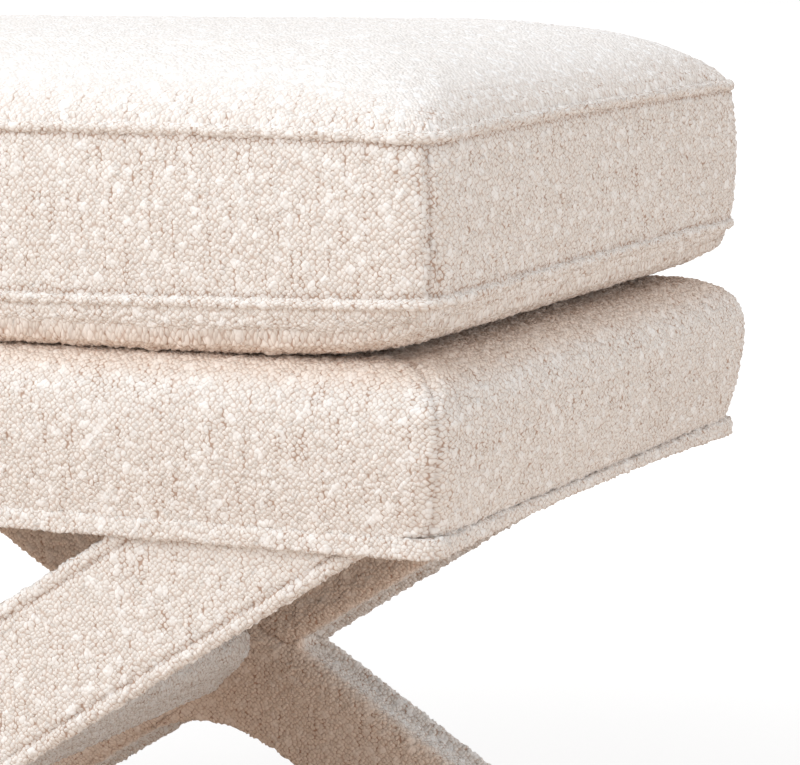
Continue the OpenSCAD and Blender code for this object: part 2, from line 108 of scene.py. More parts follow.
# Legs
LEG_ANGLE = math.radians(32.2)
CROSS_Z = 141 * MM
LEG_W = 62 * MM
FLANGE_OUT = 5.5 * MM
FLANGE_T = 6 * MM
LEG_EDGE_R = 8 * MM
LEG_FRONT, LEG_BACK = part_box("front_long_cover")
LEG_T = LEG_BACK.y - LEG_FRONT.y
LEG_Y = -(LEG_FRONT.y + LEG_BACK.y) / 2
CROSSING = Vector((0, -LEG_Y, CROSS_Z))
BAR_LENGTH = 0.8  # of a cover before it is cut, more than any leg's
PLATE_EDGE_R = 2.6 * MM
WIDE_NOTCH_R, NARROW_NOTCH_R = 80 * MM, 5 * MM
STITCH_INSET = 7.5 * MM
STITCH_W = 1.3 * MM
STITCH_DEPTH = 1.5 * MM
PUFF_H = 0.4 * MM  # how far the flange stands out beside its stitches
STRETCHER_SIDE = 56 * MM
STRETCHER_EDGE_R = 16 * MM


class BoucleSettings(bpy.types.PropertyGroup):
    """Sizes and colours of the fabric."""

    pitch: FloatProperty(
        name="Knot pitch", description="Distance between neighbouring knots", default=2.2 * MM, unit="LENGTH"
    )
    knot_h: FloatProperty(
        name="Knot height", description="How far the knots stand out", default=2.3 * MM, unit="LENGTH"
    )
    mesh_step: FloatProperty(
        name="Mesh step", description="Size of the covers' mesh faces", default=1.5 * MM, unit="LENGTH"
    )
    knot: FloatVectorProperty(
        name="Knots", description="Colour of the knots", default=(0.925, 0.90, 0.875), subtype="COLOR"
    )
    slub: FloatVectorProperty(
        name="Slubs", description="Colour of the thick slubs", default=(0.935, 0.92, 0.905), subtype="COLOR"
    )
    gap: FloatVectorProperty(
        name="Gaps", description="Colour of the ground between the knots", default=(0.47, 0.335, 0.265),
        subtype="COLOR"
    )


class CushionSettings(bpy.types.PropertyGroup):
    """How the loose cushion is stuffed."""

    sim_step: FloatProperty(
        name="Cloth step", description="Size of the simulated cloth's faces", default=6 * MM, unit="LENGTH"
    )
    pressure: FloatProperty(
        name="Pressure", description="Pressure inside the padded pieces while they swell", default=4.0
    )
    swell: FloatProperty(
        name="Swell", description="The furthest the stuffing pushes the fabric", default=4 * MM, unit="LENGTH"
    )


class StudioSettings(bpy.types.PropertyGroup):
    """Camera and lamps."""

    lens: FloatProperty(name="Lens", description="Focal length in millimetres", default=155.97)
    azimuth: FloatProperty(
        name="Azimuth", description="Camera's turn from the front", default=math.radians(26.07), subtype="ANGLE"
    )
    elevation: FloatProperty(
        name="Elevation", description="Camera's height angle", default=math.radians(8.489), subtype="ANGLE"
    )
    roll: FloatProperty(
        name="Roll", description="Camera's turn about its own axis", default=math.radians(-0.815), subtype="ANGLE"
    )
    distance: FloatProperty(
        name="Distance", description="From the camera to the point it looks at", default=1.8835, unit="LENGTH"
    )
    target: FloatVectorProperty(
        name="Target", description="The point the camera looks at", default=(0.16865, 0.08601, 0.31241),
        subtype="TRANSLATION"
    )


# Node trees


class Sock:
    """A node's output. Arithmetic on it adds Math nodes to its tree."""

    def __init__(self, tree, socket):
        self.tree, self.socket = tree, socket

    def math(self, operation, *values):
        return node(self.tree, "ShaderNodeMath", dict(enumerate(values)), operation=operation)

    def beside(self, name):
        """Another output of the same node."""
        return Sock(self.tree, self.socket.node.outputs[name])

    def __add__(self, other):
        return self.math("ADD", self, other)

    def __sub__(self, other):
        return self.math("SUBTRACT", self, other)

    def __rsub__(self, other):
        return self.math("SUBTRACT", other, self)

    def __mul__(self, other):
        return self.math("MULTIPLY", self, other)

    __radd__ = __add__
    __rmul__ = __mul__


def fill(tree, sockets, values):
    """Gives sockets their values or links."""
    for name, value in values.items():
        if isinstance(value, Sock):
            tree.links.new(value.socket, sockets[name])
        else:
            sockets[name].default_value = value


def node(tree, kind, values=None, out=0, **settings):
    """Adds a node with its settings, fills its sockets and returns one of its outputs."""
    made = tree.nodes.new(kind)
    for name, value in settings.items():
        setattr(made, name, value)
    fill(tree, made.inputs, values or {})
    return Sock(tree, made.outputs[out]) if made.outputs else None


def ramp(tree, value, low, high, start=0.0, end=1.0):
    """Smooth change from start, where value is low, to end, where it is high."""
    values = {"Value": value, "From Min": low, "From Max": high, "To Min": start, "To Max": end}
    return node(tree, "ShaderNodeMapRange", values, interpolation_type="SMOOTHSTEP")


def mix_colours(tree, share, a, b, how="MIX"):
    """Colour a turned into b by share."""
    a, b = (c if isinstance(c, Sock) else (*c, 1) for c in (a, b))
    return node(tree, "ShaderNodeMix", {0: share, 6: a, 7: b}, 2, data_type="RGBA", blend_type=how)


def vector_maths(tree, operation, vector, by):
    """A vector worked on by another or, to scale it, by a number."""
    values = {0: vector, "Scale" if operation == "SCALE" else 1: by}
    return node(tree, "ShaderNodeVectorMath", values, operation=operation)


def noise(tree, place, scale, detail, out="Fac", **more):
    """Noise at a place."""
    return node(tree, "ShaderNodeTexNoise", {"Vector": place, "Scale": scale, "Detail": detail, **more}, out)


def part_of(tree, vector, axis=0):
    """One part, 0 to 2, of a vector or a colour."""
    return node(tree, "ShaderNodeSeparateXYZ", {"Vector": vector}, axis)


def place_on(tree):
    """Place on the piece, in metres."""
    return node(tree, "ShaderNodeTexCoord", {}, "Object")


def bump(tree, height, strength, distance):
    """A normal tilted by a height."""
    return node(tree, "ShaderNodeBump", {"Height": height, "Strength": strength, "Distance": distance})


def knots(tree, cloth):
    """Boucle at the cloth coordinates: the knots' height, the gaps' depth, the slubs and a chance per knot."""
    pitch = bpy.context.scene.stool_boucle.pitch
    # One knot to a cell, in slanting rows that wander
    scaled = vector_maths(tree, "MULTIPLY", cloth, (1 / pitch, 1 / pitch, 0))
    wander = vector_maths(tree, "SCALE", noise(tree, scaled, 0.35, 1.0, "Color"), 1.3)
    moved = vector_maths(tree, "ADD", scaled, wander)
    turned = {"Vector": moved, "Angle": math.radians(45)}
    rows = node(tree, "ShaderNodeVectorRotate", turned, rotation_type="Z_AXIS")

    def cells(place, scale, randomness, **settings):
        values = {"Vector": place, "Scale": scale, "Randomness": randomness}
        return node(tree, "ShaderNodeTexVoronoi", values, "Distance", voronoi_dimensions="2D", **settings)

    edge = cells(rows, 1.0, 0.62, feature="DISTANCE_TO_EDGE")
    near = cells(rows, 1.0, 0.62)
    chance = part_of(tree, near.beside("Color"))
    # Knots near the middle of some of the larger cells swell into a slub
    lump = cells(near.beside("Position"), 0.30, 1.0)
    lump_chance = part_of(tree, lump.beside("Color"))
    slub = ramp(tree, lump, 0.24, 0.42, 1.0, 0.0) * ramp(tree, lump_chance, 0.5, 0.75)
    height = ramp(tree, near, 0.0, 0.68, 1.0, 0.0) * (chance * 0.35 + 0.65)
    height = height + slub * (1.25 - height) * 0.55
    # The ground shows between the knots, most where three of them meet
    line = ramp(tree, edge, 0.0, 0.15, 1.0, 0.0)
    corner = ramp(tree, near, 0.40, 0.64)
    gap = (line * 0.4 + corner * 0.7) * (1.0 - slub * 0.7)
    return height, gap, slub, chance


# Materials


def new_material(name):
    """A material with a bare Principled shader, its tree and the shader."""
    material = bpy.data.materials.new(name)
    material.use_nodes = True
    tree = material.node_tree
    return material, tree, tree.nodes["Principled BSDF"]


def boucle_material():
    """Cream boucle: knots over a tan ground, thick slubs, pulled threads and slow changes of tone, with painted
    shade along seams and in hollows and painted light from above on the top panel.
    """
    made = bpy.data.materials.get("cream_boucle")
    if made:
        return made
    look = bpy.context.scene.stool_boucle
    made, tree, shader = new_material("cream_boucle")
    cloth = node(tree, "ShaderNodeAttribute", {}, "Vector", attribute_name="cloth")
    height, gap, slub, chance = knots(tree, cloth)
    seam = part_of(tree, cloth, 2)
    # Painted light from above, where cloth z is below 0 on the top panel: the gaps fill in and the colour turns
    # whiter
    painted_top_light = ramp(tree, seam, 0.0, -1.0)
    seam = ramp(tree, seam, 0.0, 1.0)
    threads = {"Vector": vector_maths(tree, "MULTIPLY", cloth, (420, 36, 1)), "Scale": 1.0, "Detail": 1.0}
    threads = node(tree, "ShaderNodeTexNoise", threads, noise_dimensions="2D")
    pulled_thread = ramp(tree, threads, 0.58, 0.72)
    # The gaps and pulled threads darken towards the ground's colour, and so do seams and stitch lines, as painted
    # shade in their grooves
    depth = gap * (pulled_thread * 0.7 + 0.62) + pulled_thread * 0.10 + seam * (gap * 0.4 + 0.22)
    depth = depth * (1.0 - painted_top_light)
    tone = noise(tree, cloth, 14.0, 2.0)
    fuzz = noise(tree, cloth, 2600.0, 1.0)
    dark = tuple(c * f for c, f in zip(look.knot, DARK_KNOT))
    colour = mix_colours(tree, chance * 0.6 + tone * 0.5 - 0.1, look.knot, dark)
    colour = mix_colours(tree, slub, colour, look.slub)
    colour = mix_colours(tree, depth, colour, look.gap)
    colour = mix_colours(tree, painted_top_light, colour, PAINTED_TOP_LIGHT_TINT, "MULTIPLY")
    shade = node(tree, "ShaderNodeAttribute", {}, "Fac", attribute_name="shade")
    fill(tree, shader.inputs, {
        "Base Color": mix_colours(tree, shade, colour, HOLLOW_TINT, "MULTIPLY"),
        "Normal": bump(tree, height + fuzz * 0.10, 0.7, 0.4 * look.pitch),
        "Roughness": 0.95,
        "Specular IOR Level": 0.15,
        "Sheen Weight": 0.18,
        "Sheen Roughness": 0.6,
    })
    return made


def wood_material(name, colour, rings):
    """Planed timber with grain along X: rings is how many growth lines there are per metre."""
    made, tree, shader = new_material(name)
    long = vector_maths(tree, "MULTIPLY", place_on(tree), (0.12, 1, 1))
    waves = noise(tree, long, rings, 6.0, Distortion=0.6)
    grain = ramp(tree, waves * 0.75 + noise(tree, long, rings * 12, 3.0) * 0.25, 0.35, 0.65)
    dark = tuple(c * 0.62 for c in colour)
    fill(tree, shader.inputs, {
        "Base Color": mix_colours(tree, grain, colour, dark),
        "Roughness": grain * 0.15 + 0.55,
        "Normal": bump(tree, grain, 0.2, 0.2 * MM),
    })
    return made


def steel_material():
    """Zinc-plated steel with a faint crystalline mottle."""
    made = bpy.data.materials.get("zinc_plated_steel")
    if made:
        return made
    made, tree, shader = new_material("zinc_plated_steel")
    grey = part_of(tree, node(tree, "ShaderNodeTexVoronoi", {"Vector": place_on(tree), "Scale": 700.0}, "Color"))
    fill(tree, shader.inputs, {
        "Base Color": mix_colours(tree, grey, (0.55, 0.56, 0.58), (0.66, 0.67, 0.68)),
        "Roughness": grey * 0.12 + 0.28,
        "Metallic": 1.0,
    })
    return made


def soft_material(name, light, dark, scale, depth):
    """Foam, fibre, felt or moulded nylon: a fine random grain of the given scale between two colours."""
    made, tree, shader = new_material(name)
    grain = noise(tree, place_on(tree), scale, 4.0)
    fill(tree, shader.inputs, {
        "Base Color": mix_colours(tree, ramp(tree, grain, 0.35, 0.65), light, dark),
        "Normal": bump(tree, grain, 0.5, depth),
        "Roughness": 0.9,
    })
    return made


def paint(piece, material):
    """Gives the piece its one material."""
    piece.data.materials.clear()
    piece.data.materials.append(material)


# Modelling


def added(name, data):
    """A new object in the scene."""
    piece = bpy.data.objects.new(name, data)
    bpy.context.scene.collection.objects.link(piece)
    return piece


def only(piece):
    """Makes piece the one selected and active object."""
    bpy.ops.object.select_all(action="DESELECT")
    piece.select_set(True)
    bpy.context.view_layer.objects.active = piece


@contextmanager
def editing(piece, first="DESELECT"):
    """Edit mode on piece, with nothing selected at first, or all of it."""
    only(piece)
    bpy.ops.object.mode_set(mode="EDIT")
    bpy.ops.mesh.select_all(action=first)
    yield bmesh.from_edit_mesh(piece.data)
    bpy.ops.object.mode_set(mode="OBJECT")


def pick(piece, shape, kind="edges"):
    """Selects the edges or faces for which shape is true."""
    bpy.ops.mesh.select_mode(type="EDGE" if kind == "edges" else "FACE")
    made = bmesh.from_edit_mesh(piece.data)
    for item in getattr(made, kind):
        item.select_set(bool(shape(item)))
    made.select_flush_mode()
    bmesh.update_edit_mesh(piece.data)


def block(name, size, centre=(0, 0, 0)):
    """A box of that size, with its place in its mesh."""
    bpy.ops.mesh.primitive_cube_add(size=1, location=centre)
    piece = bpy.context.object
    piece.name = piece.data.name = name
    piece.scale = size
    only(piece)
    bpy.ops.object.transform_apply(location=True, rotation=False, scale=True)
    return piece


def runs_along(edge, axis):
    """Whether an edge points along an axis, 0 to 2."""
    way = edge.verts[0].co - edge.verts[1].co
    return abs(way[axis]) > 0.999 * way.length


def round_edges(piece, shape, radius, steps):
    """Bevels the edges for which shape is true."""
    with editing(piece):
        pick(piece, shape)
        bpy.ops.mesh.bevel(offset=radius, segments=steps, affect="EDGES")


def hollow(piece, axis, rim):
    """Opens a block right through along an axis and leaves a rim of that width."""
    with editing(piece):
        pick(piece, lambda face: abs(face.normal[axis]) > 0.9, "faces")
        bpy.ops.mesh.inset(thickness=rim)
        bpy.ops.mesh.bridge_edge_loops()


def cut(piece, point, normal):
    """Cuts away what lies on the normal's side of a plane, and closes the piece there."""
    with editing(piece, "SELECT"):
        bpy.ops.mesh.bisect(plane_co=point, plane_no=normal, use_fill=True, clear_outer=True)


def fuse(parts, name):
    """Joins parts into one piece."""
    only(parts[0])
    for part in parts[1:]:
        part.select_set(True)
    bpy.ops.object.join()
    parts[0].name = parts[0].data.name = name
    return parts[0]


def modify(piece, kind, **settings):
    """Adds a modifier with these settings and applies it."""
    only(piece)
    bpy.ops.object.modifier_add(type=kind)
    modifier = piece.modifiers[-1]
    for name, value in settings.items():
        setattr(modifier, name, value)
    bpy.ops.object.modifier_apply(modifier=modifier.name)


def remesh(piece, softened, step=None):
    """Even faces of a size, which also merges what overlaps, and then softer edges."""
    modify(piece, "REMESH", mode="VOXEL", voxel_size=step or bpy.context.scene.stool_boucle.mesh_step)
    modify(piece, "SMOOTH", factor=0.5, iterations=softened)


def subdivide(piece):
    """Divides the faces twice, and returns the points and their normals."""
    modify(piece, "SUBSURF", levels=2, render_levels=2)
    return points_of(piece), rows_of(piece.data.vertices, "normal")


def rows_of(items, name="co"):
    """A vector of each of a mesh's points or faces, as an array of rows."""
    found = np.empty(len(items) * 3, np.float32)
    items.foreach_get(name, found)
    return found.reshape(-1, 3).astype(float)


def points_of(piece):
    """The piece's points."""
    return rows_of(piece.data.vertices)


def set_points(piece, points):
    """Moves the piece's points."""
    piece.data.vertices.foreach_set("co", points.astype(np.float32).ravel())
    piece.data.update()


def smooth_step(value, low, high):
    """Smooth change from 0 at low to 1 at high, which may also be the smaller of the two."""
    share = np.clip((value - low) / (high - low), 0, 1)
    return share * share * (3 - 2 * share)


def groove(distance, width):
    """Depth share of a seam's groove at a distance from its line."""
    return np.exp(-((distance / width) ** 2))


def stack(name, rings):
    """A closed mesh through rings of as many points each, from the lowest to the highest."""
    count = len(rings[0])
    points = np.concatenate([rings[0].mean(0)[None], *rings, rings[-1].mean(0)[None]])
    last = len(points) - 1
    faces = []
    for k in range(count):
        after = (k + 1) % count
        faces.append((0, 1 + after, 1 + k))
        top = 1 + (len(rings) - 1) * count
        faces.append((last, top + k, top + after))
        for i in range(len(rings) - 1):
            low, high = 1 + i * count, 1 + (i + 1) * count
            faces.append((low + k, low + after, high + after, high + k))
    mesh = bpy.data.meshes.new(name)
    mesh.from_pydata([tuple(p) for p in points], [], faces)
    return added(name, mesh)


def lengths_along(line):
    """Length along a line of points up to each of them."""
    return np.concatenate([[0], np.cumsum(np.linalg.norm(np.diff(line, axis=0), axis=1))])


def spaced(ring, count):
    """Evenly spaced points on a closed ring."""
    closed = np.concatenate([ring, ring[:1]])
    far = lengths_along(closed)
    at = np.arange(count) * far[-1] / count
    return np.stack([np.interp(at, far, values) for values in closed.T], 1)


def plan(half_x, half_y, radius):
    """Evenly spaced points of a rounded rectangle, counter-clockwise from +X."""
    turns = np.radians(np.linspace(0, 90, 9))
    arcs = []
    for quarter, (sx, sy) in enumerate([(1, 1), (-1, 1), (-1, -1), (1, -1)]):
        angle = turns + quarter * math.pi / 2
        centre = np.array([sx * (half_x - radius), sy * (half_y - radius)])
        arcs.append(centre + radius * np.stack([np.cos(angle), np.sin(angle)], 1))
    return spaced(np.concatenate(arcs), RING_POINTS)


# Cloth coordinates


def face_values(piece):
    """For each face corner: its point's number, and its face's centre and normal."""
    mesh = piece.data
    vertex, sizes = np.empty(len(mesh.loops), np.int32), np.empty(len(mesh.polygons), np.int32)
    mesh.loops.foreach_get("vertex_index", vertex)
    mesh.polygons.foreach_get("loop_total", sizes)
    centres, normals = (np.repeat(rows_of(mesh.polygons, name), sizes, axis=0) for name in ("center", "normal"))
    return vertex, centres, normals


def measure(profile, a, b):
    """Length along a profile up to its place nearest each point (a, b), carried on straight past its ends."""
    lengths = lengths_along(profile)
    best, found = np.full(len(a), np.inf), np.zeros(len(a), int)
    for i, (e, z) in enumerate(profile):
        gap = (a - e) ** 2 + (b - z) ** 2
        closer = gap < best
        best[closer], found[closer] = gap[closer], i
    way = np.gradient(profile, axis=0)
    way = way / np.linalg.norm(way, axis=1, keepdims=True)
    return lengths[found] + (a - profile[found, 0]) * way[found, 0] + (b - profile[found, 1]) * way[found, 1]


def lay_cloth(piece, across, along, seam=0):
    """Writes each face corner's place on the flat fabric. Seam is a seam's share of painted shade or, below 0,
    the share of painted light from above on the top panel.
    """
    attribute = piece.data.attributes.new("cloth", "FLOAT_VECTOR", "CORNER")
    flat = np.stack([across, along, seam + np.zeros_like(across)], 1)
    attribute.data.foreach_set("vector", flat.astype(np.float32).ravel())


def shade_cloth(piece, share):
    """Writes where the fabric lies in a hollow, in which it looks warmer and darker."""
    attribute = piece.data.attributes.new("shade", "FLOAT", "POINT")
    attribute.data.foreach_set("value", share.astype(np.float32))


def knot_tree():
    """The geometry nodes that raise the knots along the surface's normals."""
    made = bpy.data.node_groups.get("raised_knots")
    if made:
        return made
    made = bpy.data.node_groups.new("raised_knots", "GeometryNodeTree")
    made.interface.new_socket("Geometry", in_out="INPUT", socket_type="NodeSocketGeometry")
    made.interface.new_socket("Geometry", in_out="OUTPUT", socket_type="NodeSocketGeometry")
    cloth = node(made, "GeometryNodeInputNamedAttribute", {"Name": "cloth"}, data_type="FLOAT_VECTOR")
    coarse = vector_maths(made, "SCALE", cloth, 0.5)
    height = knots(made, cloth)[0] * 0.35 + knots(made, coarse)[0] * 0.65 - 0.27
    # The knots are lowered where the top panel gets painted light from above, cloth z below 0
    height = height * ramp(made, part_of(made, cloth, 2), 0.0, -1.0, 1.0, 0.25)
    out = node(made, "GeometryNodeInputNormal")
    raised = vector_maths(made, "SCALE", out, height * bpy.context.scene.stool_boucle.knot_h)
    start = node(made, "NodeGroupInput")
    moved = node(made, "GeometryNodeSetPosition", {"Geometry": start, "Offset": raised})
    node(made, "NodeGroupOutput", {0: moved})
    return made


def settle(piece, body, slot, *nodes):
    """Fixes a finished piece to its body and hides the nodes it stands for. Its finish, slot, is not used."""
    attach(piece, body)
    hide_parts(*nodes)


def dress(piece, body, *nodes):
    """Lifts the fabric's knots out of a cover's mesh, gives it its material and fixes it in its place."""
    modify(piece, "NODES", node_group=knot_tree())
    bpy.ops.object.shade_smooth()
    paint(piece, boucle_material())
    settle(piece, body, "boucle", *nodes)


def swell(piece, held):
    """Stuffs a closed piece by cloth simulation under pressure. Points held near 1 stay where they are."""
    cushion = bpy.context.scene.stool_cushion
    before = points_of(piece)
    group = piece.vertex_groups.new(name="seams")
    for level in (1.0, 0.5):
        found = np.flatnonzero((held > level - 0.25) & (held <= level + 0.25))
        group.add([int(i) for i in found], level, "REPLACE")
    only(piece)
    bpy.ops.object.modifier_add(type="CLOTH")
    cloth = piece.modifiers[-1]
    cloth.settings.use_pressure = True
    cloth.settings.uniform_pressure_force = cushion.pressure
    cloth.settings.effector_weights.gravity = 0
    cloth.settings.vertex_group_mass = "seams"
    for number in range(1, SIM_FRAMES + 1):
        bpy.context.scene.frame_set(number)
    bpy.ops.object.modifier_apply(modifier=cloth.name)
    bpy.context.scene.frame_set(1)
    piece.vertex_groups.clear()
    move = points_of(piece) - before
    far = np.linalg.norm(move, axis=1, keepdims=True) + 1e-9
    set_points(piece, before + move / far * cushion.swell * np.tanh(far / cushion.swell))


# Cushion


def side_inset(p):
    """How far in from the cushion's nearest side, below 0 outside it."""
    return np.minimum(HALF_W - np.abs(p[:, 0]), HALF_D - np.abs(p[:, 1]))


def pulled(points):
    """Draws the cushion's front, left and right sides in between the corners."""
    x, y = points[:, 0], points[:, 1]
    u, v = x / HALF_W, y / HALF_D
    return np.stack([
        x - DRAW_IN * u**3 * np.maximum(0, 1 - v * v),
        y + DRAW_IN * np.maximum(0, -v) ** 3 * np.maximum(0, 1 - u * u),
    ], 1)


def dip(x, y):
    """How far the top seam dips at the corners."""
    return CORNER_DIP * np.abs(x / HALF_W * y / HALF_D) ** 6


def low_rise(x):
    """How far the bottom seam rises towards the cushion's ends."""
    return END_RISE * np.abs(x / HALF_W) ** 2.5


def seam_heights(p):
    """Heights of the cushion's top and bottom seams beside each point."""
    return TOP_SEAM - dip(p[:, 0], p[:, 1]), LOW_SEAM + low_rise(p[:, 0])


def near_seam(inset, reach):
    """Share of its full height that a panel has this far in from its seam."""
    return 1 - (1 - np.clip(inset, 0, reach) / reach) ** 2


def dome(x, y, along, across):
    """A hump over a panel, 0 at its edges."""
    return np.maximum(0, 1 - np.abs(x / HALF_W) ** along) * np.maximum(0, 1 - np.abs(y / HALF_D) ** across)


def top_height(x, y, inset, crown=CROWN):
    """Height of the cushion's top panel, which is fuller towards its corners."""
    power = 1 - 0.4 * (x / HALF_W * y / HALF_D) ** 2
    return TOP_SEAM - dip(x, y) + crown * dome(x, y, 11, 7) ** power * near_seam(inset, TOP_REACH)


def under_height(x, y, inset):
    """Height of the cushion's underside."""
    fall = np.minimum(1, np.sqrt(dome(x, y, 7.4, 18)) * near_seam(inset, UNDER_REACH) / FLAT_SHARE)
    return LOW_SEAM + low_rise(x) * (1 - fall) - UNDER_DROP * fall


def cushion_ring(inset, height):
    """A ring of the cushion, inset from its seams, at the height that a function gives."""
    half = HALF_D - inset
    radius = min(max(6 * MM, CUSHION_CORNER + 0.35 * inset), 0.9 * half)
    flat = pulled(plan(HALF_W - inset, half, radius))
    return np.column_stack([flat, height(flat[:, 0], flat[:, 1])])


def seam_ring(top, further=0):
    """The line of the cushion's top or bottom seam. The bottom one lies a little further in."""
    shape = top_height if top else under_height
    return cushion_ring(further if top else LOW_INSET + further, lambda x, y: shape(x, y, 0))


def cushion_form(slack):
    """The cushion before it is stuffed: slack is how much lower its panels lie."""
    rings = [cushion_ring(e, lambda x, y: under_height(x, y, e)) for e in np.geomspace(0.15, 0.0035, 14)]
    low, high = seam_ring(False), seam_ring(True)
    for share in np.linspace(0, 1, 11):
        bulge = (BOXING_SWELL - slack / 4) * math.sin(math.pi * share) - LOW_INSET * (1 - share) ** 2
        ring = cushion_ring(-bulge, lambda x, y: x * 0)
        ring[:, 2] = low[:, 2] * (1 - share) + high[:, 2] * share
        rings.append(ring)
    for e in np.geomspace(0.001, 0.185, 24):
        rings.append(cushion_ring(e, lambda x, y: top_height(x, y, e, CROWN - slack)))
    return stack("cushion", rings)


def panel_lengths(p, height, seam_z):
    """Lengths over a panel from its middle lines, along X and Y. The underside's steep rim goes by its height."""
    full = height(0, 0, 1) - seam_z
    near = np.clip(1 - (np.array([HALF_W, HALF_D]) - np.abs(p[:, :2])) / STEEP_W, 0, 1).T
    found = []
    for axis, half, other, other_half in ((0, HALF_W, 1, HALF_D), (1, HALF_D, 0, HALF_W)):
        far = half * (1 - np.geomspace(1, 0.0001, 120))
        place = np.zeros((2, len(far)))
        place[axis] = far
        profile = np.stack([far, height(*place, half - far) - seam_z], 1)
        place = np.zeros((2, len(p)))
        place[other] = p[:, other]
        share = np.clip((height(*place, other_half - np.abs(p[:, other])) - seam_z) / full, 0, 1)
        flat = np.abs(p[:, axis])
        lengths = lengths_along(profile)
        if full < 0:
            steep = np.interp(p[:, 2] - seam_z, profile[:, 1], lengths - far)
            length = flat + steep * near[axis] / np.maximum(np.hypot(*near), 1)
        else:
            length = flat + share * (np.interp(flat, far, lengths) - flat)
        found.append(np.sign(p[:, axis]) * length)
    return found


def round_the_corner(main, other, half_main, half_other, radius):
    """Length along a side from its middle, carried on round the corner's arc."""
    past, beside = np.abs(main) - (half_main - radius), np.abs(other) - (half_other - radius)
    turn = np.arctan2(np.maximum(past, 0), np.maximum(beside, 1e-6))
    length = np.where(past > 0, half_main - radius + radius * turn, np.abs(main))
    return length * np.sign(main)


def corner_seam(p, half_x, half_y):
    """Share of a vertical corner seam at a point of the cushion's or the seat box's sides."""
    far = np.abs(np.abs(p[:, 0]) - half_x - np.abs(p[:, 1]) + half_y) / math.sqrt(2)
    return groove(far, CORNER_SEAM_W) * smooth_step(np.abs(p[:, 0]), half_x - 40 * MM, half_x - 25 * MM)


def welt_lines(p):
    """Share of the seams that run along the boxing beside the welts, which are pressed in a little and darkened
    with painted shade.
    """
    top, low = seam_heights(p)
    top, low = (groove(z - p[:, 2], SEAM_W) for z in (top - WELT_LINE, low + WELT_LINE))
    return np.maximum(top, low)


def lay_cushion(piece):
    """Cloth coordinates of the cushion: top, underside and the four sides of the boxing."""
    vertex, c, n = face_values(piece)
    p = points_of(piece)
    top_z, low_z = seam_heights(c)
    top, under = c[:, 2] > top_z, c[:, 2] < low_z
    across, along, seam = np.zeros(len(c)), np.zeros(len(c)), np.zeros(len(c))
    for chosen, height, seam_z, shift in ((top, top_height, TOP_SEAM, 0), (under, under_height, LOW_SEAM, 1)):
        long, wide = panel_lengths(p, height, seam_z)
        across[chosen] = long[vertex[chosen]] + shift * PANEL_SHIFT
        along[chosen] = wide[vertex[chosen]]
    # Painted light from above on the top panel, full from 30 mm in from its sides
    seam[top] = -TOP_PAINTED_LIGHT * smooth_step(side_inset(c[top]), -10 * MM, 30 * MM)
    side = ~(top | under)
    lengthways = np.abs(n[:, 1]) > np.abs(n[:, 0])
    for chosen, main, other, halves, shift in (
        (side & lengthways, 0, 1, (HALF_W, HALF_D), 2),
        (side & ~lengthways, 1, 0, (HALF_D, HALF_W), 4),
    ):
        sign = np.sign(c[chosen, other])
        q = p[vertex[chosen]]
        length = round_the_corner(q[:, main], q[:, other], *halves, CUSHION_CORNER)
        across[chosen] = length * -sign + (shift + sign) * PANEL_SHIFT
        along[chosen] = q[:, 2]
        # Painted shade in the boxing's corner seams and along the welts
        seam[chosen] = np.maximum(corner_seam(q, HALF_W, HALF_D), welt_lines(q))
    lay_cloth(piece, across, along, seam)
    shade_cloth(piece, CONTACT_SHADE * smooth_step(LOW_SEAM - p[:, 2], 6 * MM, 24 * MM))


def press_seams(p, n):
    """Holds the stuffed panels near their drawn heights, and presses in the seams and the zip's recess."""
    inset = np.maximum(side_inset(p), 0)
    crown = top_height(p[:, 0], p[:, 1], inset)
    over = PANEL_GIVE * np.tanh((p[:, 2] - crown) / PANEL_GIVE)
    top = smooth_step(inset, TOP_REACH, 4 * TOP_REACH) * (n[:, 2] > 0.3)
    p[:, 2] = p[:, 2] * (1 - top) + (crown + over) * top
    most = under_height(p[:, 0], p[:, 1], inset) + PANEL_GIVE
    p[:, 2] = np.where((n[:, 2] < -0.3) & (inset > 8 * MM), np.minimum(p[:, 2], most), p[:, 2])
    p[:, 2] = np.maximum(p[:, 2], CUSHION_LOW.z + 0.2 * MM)
    boxing = smooth_step(p[:, 2], LOW_SEAM, LOW_SEAM + 8 * MM) * smooth_step(p[:, 2], TOP_SEAM, TOP_SEAM - 5 * MM)
    p -= n * (CUSHION_GROOVE * corner_seam(p, HALF_W, HALF_D) * boxing)[:, None]
    p -= n * (WELT_GROOVE * welt_lines(p) * (np.abs(n[:, 2]) < 0.6))[:, None]
    zip_low, zip_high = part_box("zip_tape")
    from_zip = np.abs(p[:, 2] - (zip_low.z + zip_high.z) / 2)
    recess = smooth_step(np.abs(p[:, 0]), zip_high.x + 4 * MM, zip_high.x)
    recess *= smooth_step(from_zip, 9 * MM, 6 * MM) * (p[:, 1] > 0.9 * HALF_D)
    p[:, 1] = p[:, 1] * (1 - recess) + np.minimum(p[:, 1], zip_low.y - 1.2 * MM) * recess
    return p


class STOOL_OT_cushion(bpy.types.Operator):
    """Make the loose cushion: stuffed by a cloth simulation, with corner seams and a zip's slot"""

    bl_idname = "stool.cushion"
    bl_label = "Cushion"

    def execute(self, context):
        settings = context.scene.stool_cushion
        piece = cushion_form(0.4 * settings.swell)
        remesh(piece, 2, settings.sim_step)
        p = points_of(piece)
        from_seam = np.min([np.abs(p[:, 2] - z) for z in seam_heights(p)], axis=0)
        near = 1 - smooth_step(from_seam, 3 * MM, 12 * MM)
        swell(piece, np.where(side_inset(p) < 12 * MM, near, 0))
        set_points(piece, press_seams(*subdivide(piece)))
        lay_cushion(piece)
        dress(piece, "cushion", "cushion_cover")
        return {"FINISHED"}


